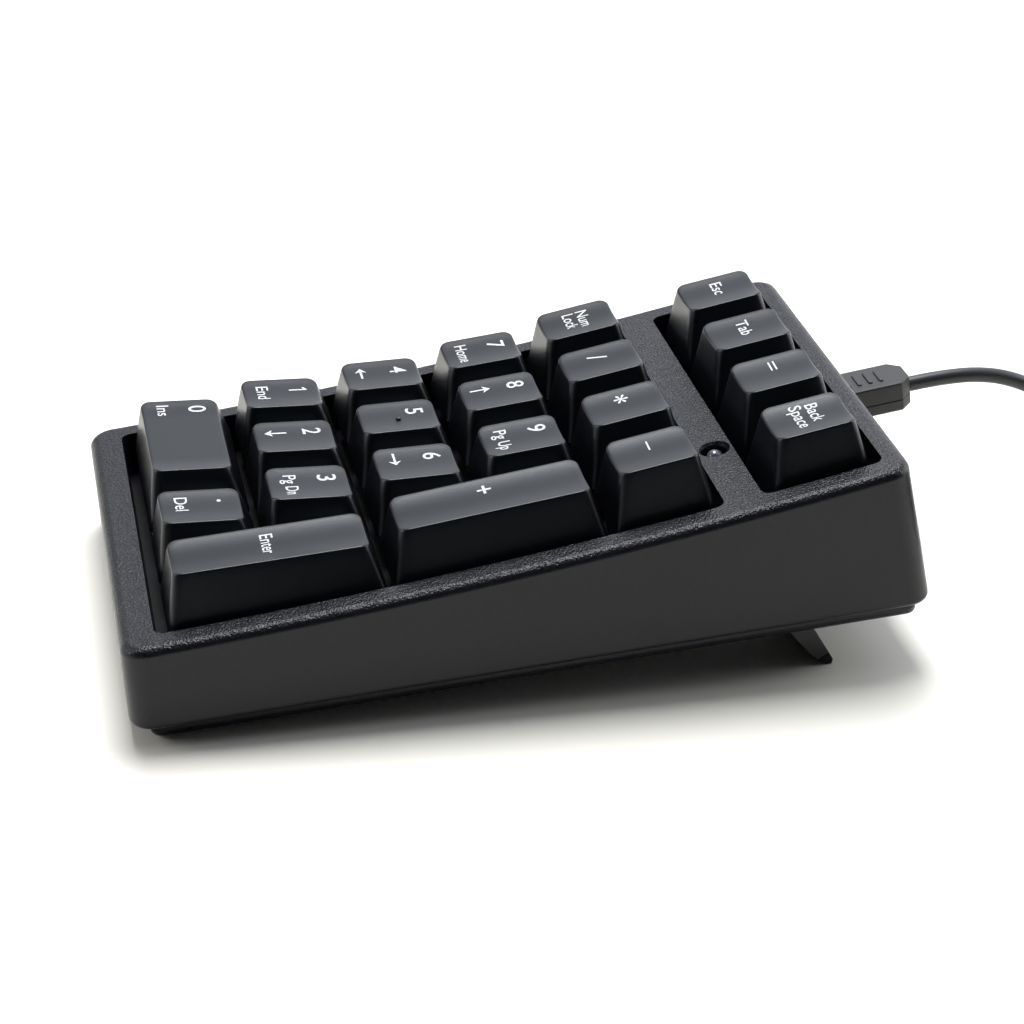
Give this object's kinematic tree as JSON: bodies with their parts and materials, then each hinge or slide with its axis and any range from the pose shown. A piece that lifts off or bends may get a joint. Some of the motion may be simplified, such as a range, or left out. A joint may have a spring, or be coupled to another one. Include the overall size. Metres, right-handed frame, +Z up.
{
  "type": "numeric keypad",
  "caption": "Wired mechanical numeric keypad with sculpted dark keys, a tall wedge case, flip-out rear feet, stabilised long keys and a detachable lead",
  "frame": {"origin": "on the table, under the middle of the keypad's box with the lead left out", "axes": "+X to the user's right, +Y away from the user, +Z up"},
  "size_m": [0.1146, 0.2463, 0.0449],
  "materials": {
    "case_plastic": "fine moulded grain",
    "key_plastic": "satin",
    "switch_plastic": "satin",
    "plate_steel": "satin black paint",
    "board": "solder resist",
    "rubber": "matte",
    "lamp_lens": "clear",
    "wire_steel": "drawn wire",
    "lead_plastic": "satin"
  },
  "bodies": {
    "case": {"bottom_case": "case_plastic", "cable_coil": "lead_plastic", "cable_lead": "lead_plastic", "cable_plug": "lead_plastic", "circuit_board": "board", "front_pad_left": "rubber", "front_pad_right": "rubber", "host_plug": "lead_plastic", "indicator_lamp": "lamp_lens", "rear_pad_left": "rubber", "rear_pad_right": "rubber", "switch_0": "switch_plastic", "switch_1": "switch_plastic", "switch_2": "switch_plastic", "switch_3": "switch_plastic", "switch_4": "switch_plastic", "switch_5": "switch_plastic", "switch_6": "switch_plastic", "switch_7": "switch_plastic", "switch_8": "switch_plastic", "switch_9": "switch_plastic", "switch_back_space": "switch_plastic", "switch_decimal": "switch_plastic", "switch_divide": "switch_plastic", "switch_enter": "switch_plastic", "switch_equals": "switch_plastic", "switch_esc": "switch_plastic", "switch_minus": "switch_plastic", "switch_multiply": "switch_plastic", "switch_num_lock": "switch_plastic", "switch_plate": "plate_steel", "switch_plus": "switch_plastic", "switch_tab": "switch_plastic", "top_case": "case_plastic"},
    "key_esc": {"key_esc": "key_plastic"},
    "key_tab": {"key_tab": "key_plastic"},
    "key_equals": {"key_equals": "key_plastic"},
    "key_back_space": {"key_back_space": "key_plastic"},
    "key_num_lock": {"key_num_lock": "key_plastic"},
    "key_divide": {"key_divide": "key_plastic"},
    "key_multiply": {"key_multiply": "key_plastic"},
    "key_minus": {"key_minus": "key_plastic"},
    "key_7": {"key_7": "key_plastic"},
    "key_8": {"key_8": "key_plastic"},
    "key_9": {"key_9": "key_plastic"},
    "key_4": {"key_4": "key_plastic"},
    "key_5": {"key_5": "key_plastic"},
    "key_6": {"key_6": "key_plastic"},
    "key_1": {"key_1": "key_plastic"},
    "key_2": {"key_2": "key_plastic"},
    "key_3": {"key_3": "key_plastic"},
    "key_plus": {"key_plus": "key_plastic"},
    "key_enter": {"key_enter": "key_plastic"},
    "key_0": {"key_0": "key_plastic"},
    "key_decimal": {"key_decimal": "key_plastic"},
    "stabiliser_0": {"stabiliser_0": "wire_steel"},
    "stabiliser_plus": {"stabiliser_plus": "wire_steel"},
    "stabiliser_enter": {"stabiliser_enter": "wire_steel"},
    "foot_left": {"foot_left": "case_plastic"},
    "foot_right": {"foot_right": "case_plastic"}
  },
  "joints": [
    {"name": "press_esc", "type": "slide", "parent": "case", "child": "key_esc", "axis": [0, -0.1396, 0.9902], "range_m": [-0.004, 0], "stiffness_N_per_m": 100, "springref_m": 0.004},
    {"name": "press_tab", "type": "slide", "parent": "case", "child": "key_tab", "axis": [0, -0.1396, 0.9902], "range_m": [-0.004, 0], "stiffness_N_per_m": 100, "springref_m": 0.004},
    {"name": "press_equals", "type": "slide", "parent": "case", "child": "key_equals", "axis": [0, -0.1396, 0.9902], "range_m": [-0.004, 0], "stiffness_N_per_m": 100, "springref_m": 0.004},
    {"name": "press_back_space", "type": "slide", "parent": "case", "child": "key_back_space", "axis": [0, -0.1396, 0.9902], "range_m": [-0.004, 0], "stiffness_N_per_m": 100, "springref_m": 0.004},
    {"name": "press_num_lock", "type": "slide", "parent": "case", "child": "key_num_lock", "axis": [0, -0.1396, 0.9902], "range_m": [-0.004, 0], "stiffness_N_per_m": 100, "springref_m": 0.004},
    {"name": "press_divide", "type": "slide", "parent": "case", "child": "key_divide", "axis": [0, -0.1396, 0.9902], "range_m": [-0.004, 0], "stiffness_N_per_m": 100, "springref_m": 0.004},
    {"name": "press_multiply", "type": "slide", "parent": "case", "child": "key_multiply", "axis": [0, -0.1396, 0.9902], "range_m": [-0.004, 0], "stiffness_N_per_m": 100, "springref_m": 0.004},
    {"name": "press_minus", "type": "slide", "parent": "case", "child": "key_minus", "axis": [0, -0.1396, 0.9902], "range_m": [-0.004, 0], "stiffness_N_per_m": 100, "springref_m": 0.004},
    {"name": "press_7", "type": "slide", "parent": "case", "child": "key_7", "axis": [0, -0.1396, 0.9902], "range_m": [-0.004, 0], "stiffness_N_per_m": 100, "springref_m": 0.004},
    {"name": "press_8", "type": "slide", "parent": "case", "child": "key_8", "axis": [0, -0.1396, 0.9902], "range_m": [-0.004, 0], "stiffness_N_per_m": 100, "springref_m": 0.004},
    {"name": "press_9", "type": "slide", "parent": "case", "child": "key_9", "axis": [0, -0.1396, 0.9902], "range_m": [-0.004, 0], "stiffness_N_per_m": 100, "springref_m": 0.004},
    {"name": "press_4", "type": "slide", "parent": "case", "child": "key_4", "axis": [0, -0.1396, 0.9902], "range_m": [-0.004, 0], "stiffness_N_per_m": 100, "springref_m": 0.004},
    {"name": "press_5", "type": "slide", "parent": "case", "child": "key_5", "axis": [0, -0.1396, 0.9902], "range_m": [-0.004, 0], "stiffness_N_per_m": 100, "springref_m": 0.004},
    {"name": "press_6", "type": "slide", "parent": "case", "child": "key_6", "axis": [0, -0.1396, 0.9902], "range_m": [-0.004, 0], "stiffness_N_per_m": 100, "springref_m": 0.004},
    {"name": "press_1", "type": "slide", "parent": "case", "child": "key_1", "axis": [0, -0.1396, 0.9902], "range_m": [-0.004, 0], "stiffness_N_per_m": 100, "springref_m": 0.004},
    {"name": "press_2", "type": "slide", "parent": "case", "child": "key_2", "axis": [0, -0.1396, 0.9902], "range_m": [-0.004, 0], "stiffness_N_per_m": 100, "springref_m": 0.004},
    {"name": "press_3", "type": "slide", "parent": "case", "child": "key_3", "axis": [0, -0.1396, 0.9902], "range_m": [-0.004, 0], "stiffness_N_per_m": 100, "springref_m": 0.004},
    {"name": "press_plus", "type": "slide", "parent": "case", "child": "key_plus", "axis": [0, -0.1396, 0.9902], "range_m": [-0.004, 0], "stiffness_N_per_m": 100, "springref_m": 0.004},
    {"name": "press_enter", "type": "slide", "parent": "case", "child": "key_enter", "axis": [0, -0.1396, 0.9902], "range_m": [-0.004, 0], "stiffness_N_per_m": 100, "springref_m": 0.004},
    {"name": "press_0", "type": "slide", "parent": "case", "child": "key_0", "axis": [0, -0.1396, 0.9902], "range_m": [-0.004, 0], "stiffness_N_per_m": 100, "springref_m": 0.004},
    {"name": "press_decimal", "type": "slide", "parent": "case", "child": "key_decimal", "axis": [0, -0.1396, 0.9902], "range_m": [-0.004, 0], "stiffness_N_per_m": 100, "springref_m": 0.004},
    {"name": "stabiliser_0_turn", "type": "hinge", "parent": "case", "child": "stabiliser_0", "pos_m": [-0.01905, -0.05988, 0.01215], "axis": [1, 0, 0], "range_deg": [-27.5, 0]},
    {"name": "stabiliser_plus_turn", "type": "hinge", "parent": "case", "child": "stabiliser_plus", "pos_m": [0.03717, -0.0042, 0.01999], "axis": [0, 0.9902, 0.1396], "range_deg": [-27.5, 0]},
    {"name": "stabiliser_enter_turn", "type": "hinge", "parent": "case", "child": "stabiliser_enter", "pos_m": [0.03717, -0.04193, 0.01468], "axis": [0, 0.9902, 0.1396], "range_deg": [-27.5, 0]},
    {"name": "foot_left_fold", "type": "hinge", "parent": "case", "child": "foot_left", "pos_m": [-0.0307, 0.04565, 0.01058], "axis": [1, 0, 0], "range_deg": [-121, 0]},
    {"name": "foot_right_fold", "type": "hinge", "parent": "case", "child": "foot_right", "pos_m": [0.0307, 0.04565, 0.01058], "axis": [1, 0, 0], "range_deg": [-121, 0]}
  ],
  "couplings": [
    {"joint": "stabiliser_0_turn", "follows": "press_0", "rad_per_m": 118.7},
    {"joint": "stabiliser_plus_turn", "follows": "press_plus", "rad_per_m": 118.7},
    {"joint": "stabiliser_enter_turn", "follows": "press_enter", "rad_per_m": 118.7}
  ]
}
